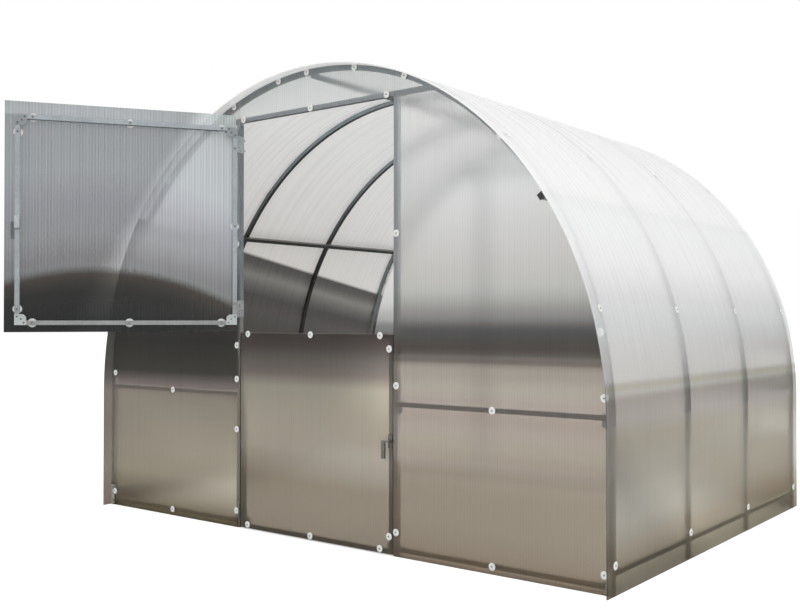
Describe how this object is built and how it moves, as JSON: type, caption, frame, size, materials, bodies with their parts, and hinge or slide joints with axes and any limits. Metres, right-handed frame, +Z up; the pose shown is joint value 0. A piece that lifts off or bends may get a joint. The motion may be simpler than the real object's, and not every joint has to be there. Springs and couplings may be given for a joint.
{
  "type": "polycarbonate greenhouse",
  "caption": "Arched walk-in greenhouse of square galvanised tube under clear twin-wall polycarbonate sheet, with a stable door whose upper leaf stands open.",
  "frame": {"origin": "middle of the underside of the front left foot, the corner that the frame is set out from, on the ground", "axes": "+X across the front gable to the right as one faces the door, +Y back along the ridge, +Z up"},
  "size_m": [3.0086, 2.8785, 2.1041],
  "materials": {
    "galvanised_tube": "bright galvanised square tube, dull zinc",
    "galvanised_plate": "zinc-plated pressed plate",
    "twin_wall_sheet": "clear twin-wall polycarbonate with fine upright flutes",
    "zinc_hinge": "zinc-plated butt hinge",
    "latch_metal": "plated and dark-painted turn latch"
  },
  "bodies": {
    "frame": {"front_arch": "galvanised_tube", "second_arch": "galvanised_tube", "third_arch": "galvanised_tube", "rear_arch": "galvanised_tube", "left_legs": "galvanised_tube", "right_legs": "galvanised_tube", "leg_splices": "galvanised_plate", "left_base_rails": "galvanised_tube", "right_base_rails": "galvanised_tube", "ridge_purlin": "galvanised_tube", "left_purlin": "galvanised_tube", "right_purlin": "galvanised_tube", "front_posts": "galvanised_tube", "front_lintel": "galvanised_tube", "front_mid_rails": "galvanised_tube", "front_bottom_rails": "galvanised_tube", "front_brackets": "galvanised_plate", "rear_posts": "galvanised_tube", "rear_lintel": "galvanised_tube", "rear_mid_rails": "galvanised_tube", "rear_bottom_rails": "galvanised_tube", "rear_brackets": "galvanised_plate", "side_brackets": "galvanised_plate", "roof_sheet": "twin_wall_sheet", "front_sheet_left": "twin_wall_sheet", "front_sheet_right": "twin_wall_sheet", "front_sheet_top": "twin_wall_sheet", "rear_sheet": "twin_wall_sheet", "upper_post_hinges": "zinc_hinge", "lower_post_hinges": "zinc_hinge"},
    "upper_leaf": {"upper_leaf_stiles": "galvanised_tube", "upper_leaf_rails": "galvanised_tube", "upper_leaf_sheet": "twin_wall_sheet", "upper_leaf_gussets": "galvanised_plate", "upper_leaf_hinges": "zinc_hinge", "upper_leaf_latch": "latch_metal"},
    "lower_leaf": {"lower_leaf_stiles": "galvanised_tube", "lower_leaf_rails": "galvanised_tube", "lower_leaf_sheet": "twin_wall_sheet", "lower_leaf_gussets": "galvanised_plate", "lower_leaf_hinges": "zinc_hinge", "lower_leaf_latch": "latch_metal"}
  },
  "joints": [
    {"name": "upper_leaf_hinge", "type": "hinge", "parent": "frame", "child": "upper_leaf", "pos_m": [1.0135, -0.03, 1.42], "axis": [0, 0, 1], "range_deg": [-34, 126]},
    {"name": "lower_leaf_hinge", "type": "hinge", "parent": "frame", "child": "lower_leaf", "pos_m": [1.0135, -0.018, 0.46], "axis": [0, 0, 1], "range_deg": [-160, 0]}
  ]
}
